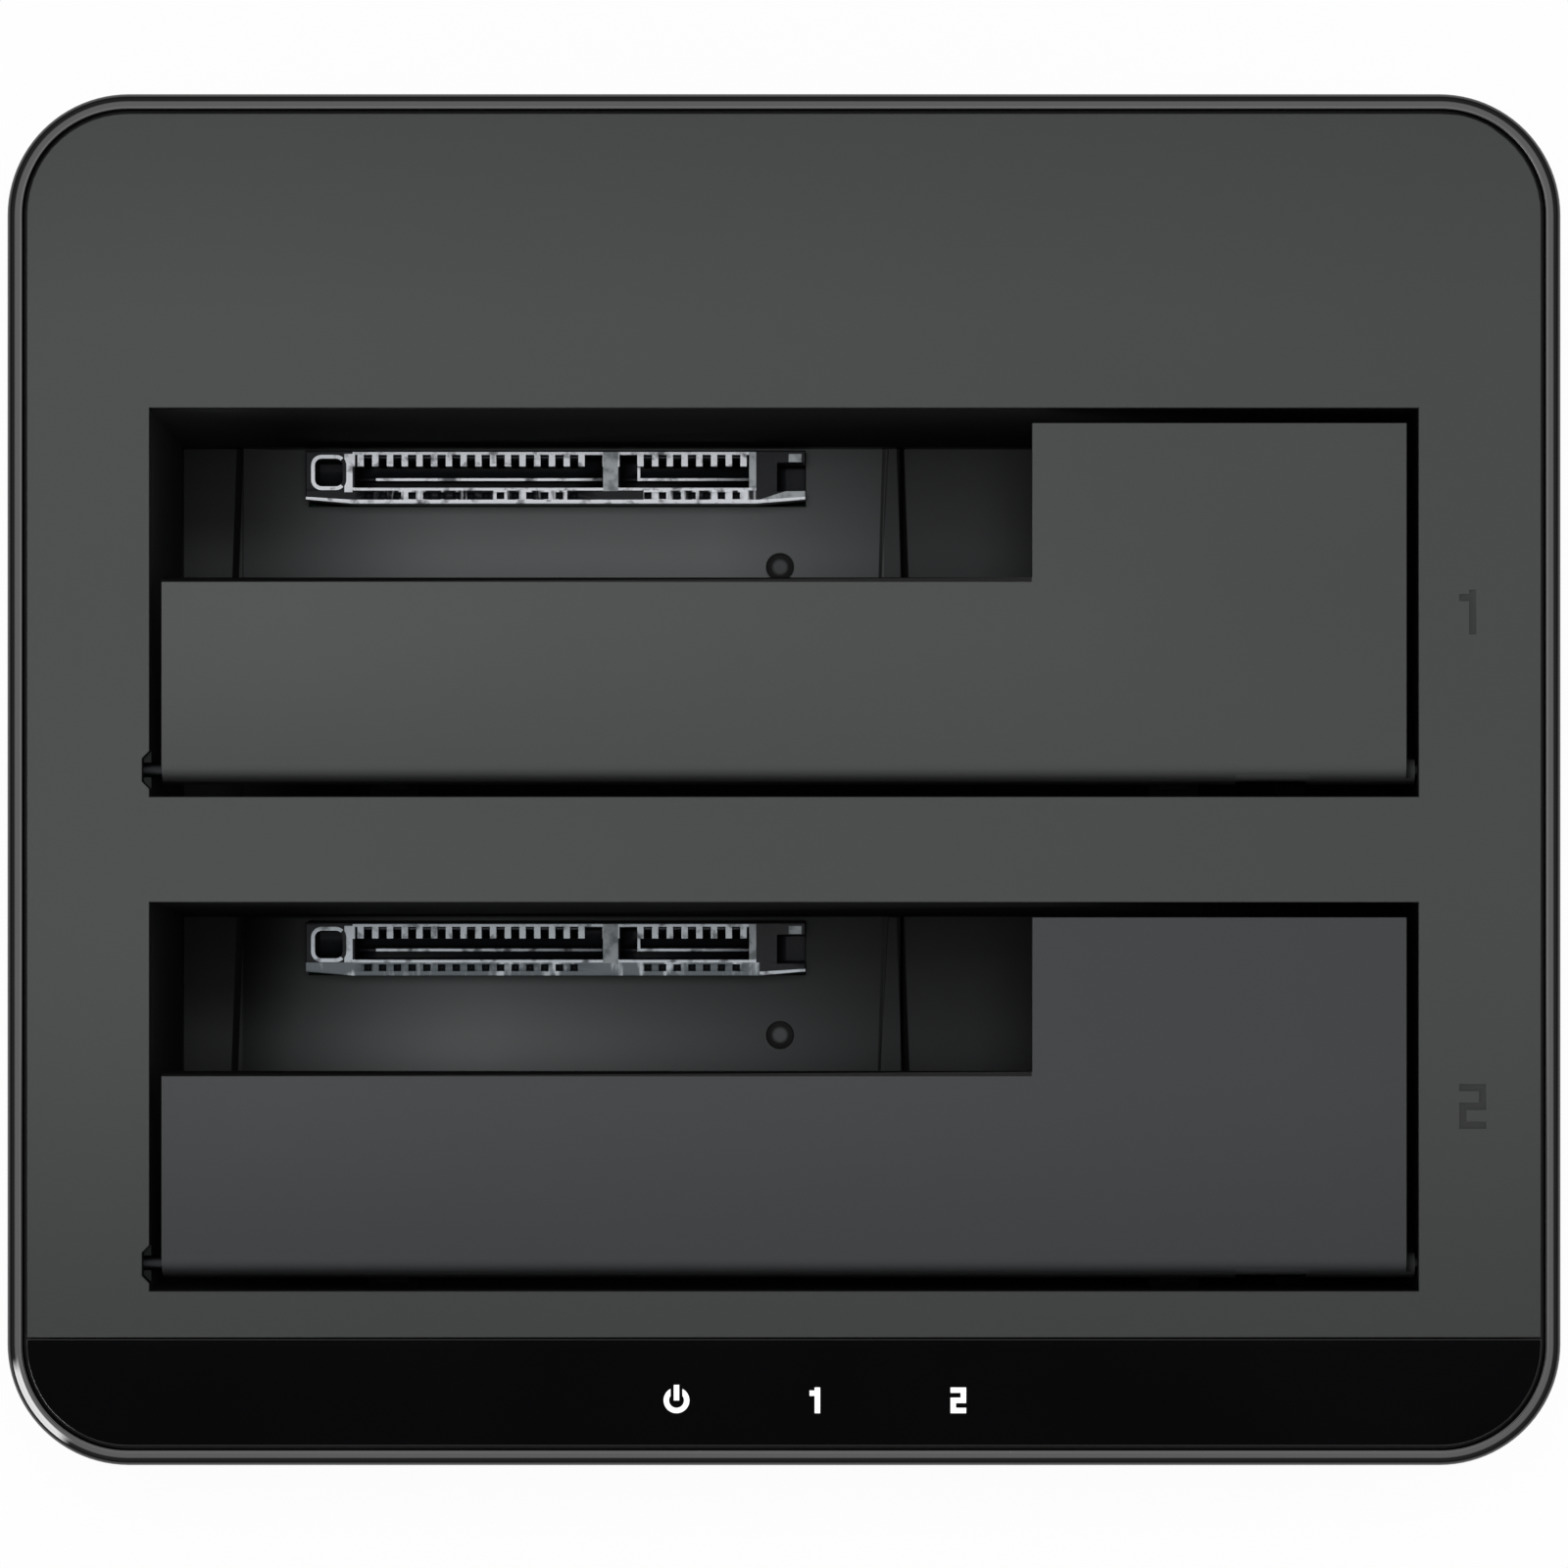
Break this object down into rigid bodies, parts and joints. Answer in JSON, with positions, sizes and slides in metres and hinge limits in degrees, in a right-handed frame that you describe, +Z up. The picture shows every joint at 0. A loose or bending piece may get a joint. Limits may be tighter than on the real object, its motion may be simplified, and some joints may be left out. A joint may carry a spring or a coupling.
{
  "type": "hard drive docking station",
  "caption": "Desktop docking station with upright drive bays in its top, each shut by a sprung L-shaped flap over a serial drive socket, and a port recess at the rear.",
  "frame": {"origin": "on the table, under the middle of the housing", "axes": "+X to the right seen from the front, +Y to the rear where the ports are, +Z up"},
  "size_m": [0.128, 0.113, 0.06],
  "materials": {
    "gloss_black": "high gloss moulded ABS",
    "case_black": "fine spark texture",
    "panel_grey": "fine matte texture",
    "well_grey": "smooth matte",
    "socket_black": "glass-filled nylon",
    "contact_gold": "gold flash",
    "contact_tin": "tin plated",
    "steel": "bright drawn wire",
    "screw_black": "black zinc",
    "shell_metal": "nickel plated sheet",
    "port_blue": "moulded",
    "board_green": "solder mask over glass fibre",
    "chip_black": "moulded epoxy",
    "coil_grey": "pressed ferrite",
    "can_metal": "sleeved aluminium can",
    "header_white": "moulded nylon",
    "cable_grey": "flat ribbon",
    "icon_white": "clear white light guide",
    "rubber": "soft matte"
  },
  "bodies": {
    "dock": {"lower_case": "case_black", "upper_case": "gloss_black", "top_panel": "panel_grey", "front_strip": "gloss_black", "power_icon": "icon_white", "bay_icon_1": "icon_white", "bay_icon_2": "icon_white", "bay_well_1": "well_grey", "bay_well_2": "well_grey", "hinge_rod_1": "steel", "hinge_rod_2": "steel", "flap_spring_1": "steel", "flap_spring_2": "steel", "sata_socket_1": "socket_black", "sata_socket_2": "socket_black", "sata_contacts_1": "contact_tin", "sata_contacts_2": "contact_tin", "main_board": "board_green", "bridge_chip": "chip_black", "flash_chip": "chip_black", "crystal": "shell_metal", "inductors": "coil_grey", "capacitors": "can_metal", "board_header": "header_white", "light_board": "board_green", "status_lights": "icon_white", "light_header": "header_white", "light_cable": "cable_grey", "port_plate": "case_black", "usb_shell": "shell_metal", "usb_insert": "port_blue", "usb_contacts": "contact_gold", "dc_jack": "socket_black", "dc_pin": "contact_gold", "switch_body": "socket_black", "switch_terminals": "contact_tin", "rocker_pin": "steel", "rubber_feet": "rubber", "case_screws": "screw_black", "board_screws": "steel", "light_board_screws": "steel"},
    "flap_1": {"flap_1": "panel_grey"},
    "flap_2": {"flap_2": "panel_grey"},
    "power_rocker": {"power_rocker": "case_black"}
  },
  "joints": [
    {"name": "flap_1_hinge", "type": "hinge", "parent": "dock", "child": "flap_1", "pos_m": [0, 0.0008, 0.0577], "axis": [-1, 0, 0], "range_deg": [0, 90], "stiffness_Nm_per_rad": 0.006, "springref_deg": -34.38, "deforming": ["flap_spring_1"]},
    {"name": "flap_2_hinge", "type": "hinge", "parent": "dock", "child": "flap_2", "pos_m": [0, -0.0399, 0.0577], "axis": [-1, 0, 0], "range_deg": [0, 90], "stiffness_Nm_per_rad": 0.006, "springref_deg": -34.38, "deforming": ["flap_spring_2"]},
    {"name": "rocker_tilt", "type": "hinge", "parent": "dock", "child": "power_rocker", "pos_m": [0.028, 0.051, 0.021], "axis": [0, 0, 1], "range_deg": [0, 20]}
  ]
}
